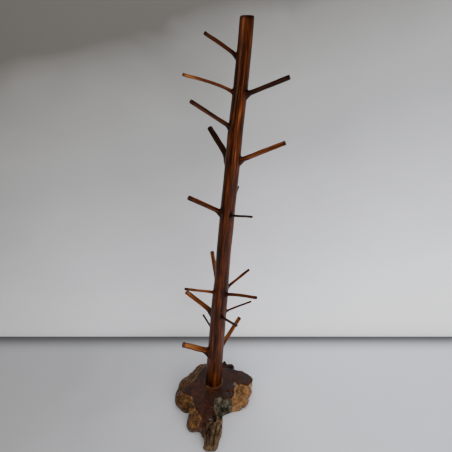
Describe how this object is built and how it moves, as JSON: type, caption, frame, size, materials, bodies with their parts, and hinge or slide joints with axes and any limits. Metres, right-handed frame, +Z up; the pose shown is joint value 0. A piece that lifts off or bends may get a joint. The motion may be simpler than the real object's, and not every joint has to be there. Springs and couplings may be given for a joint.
{
  "type": "coat tree",
  "caption": "Free-standing rustic coat tree: a leaning varnished trunk, its sawn branch stubs left as pegs, set in a root slab.",
  "frame": {"origin": "on the floor, under the middle of the whole part's bounding box", "axes": "+Z up; +X to the side the trunk leans to; -Y to the front, where the tongue of root points"},
  "size_m": [0.4566, 0.5078, 1.65],
  "materials": {
    "trunk_wood": "burnt and gloss varnished",
    "peg_wood": "burnt and gloss varnished",
    "root_wood": "bark and burl, varnished",
    "glue": "clear amber varnish",
    "zinc_steel": "zinc plated"
  },
  "bodies": {
    "root": {"root_slab": "root_wood", "trunk": "trunk_wood", "branch_peg_01": "peg_wood", "branch_peg_02": "peg_wood", "branch_peg_03": "peg_wood", "branch_peg_04": "peg_wood", "branch_peg_05": "peg_wood", "branch_peg_06": "peg_wood", "branch_peg_07": "peg_wood", "branch_peg_08": "peg_wood", "branch_peg_09": "peg_wood", "branch_peg_10": "peg_wood", "branch_peg_11": "peg_wood", "branch_peg_12": "peg_wood", "branch_peg_13": "peg_wood", "branch_peg_14": "peg_wood", "branch_peg_15": "peg_wood", "branch_peg_16": "peg_wood", "branch_peg_17": "peg_wood", "branch_peg_18": "peg_wood", "branch_peg_19": "peg_wood", "glue_ring": "glue", "lag_screw": "zinc_steel", "washer": "zinc_steel"}
  },
  "joints": []
}
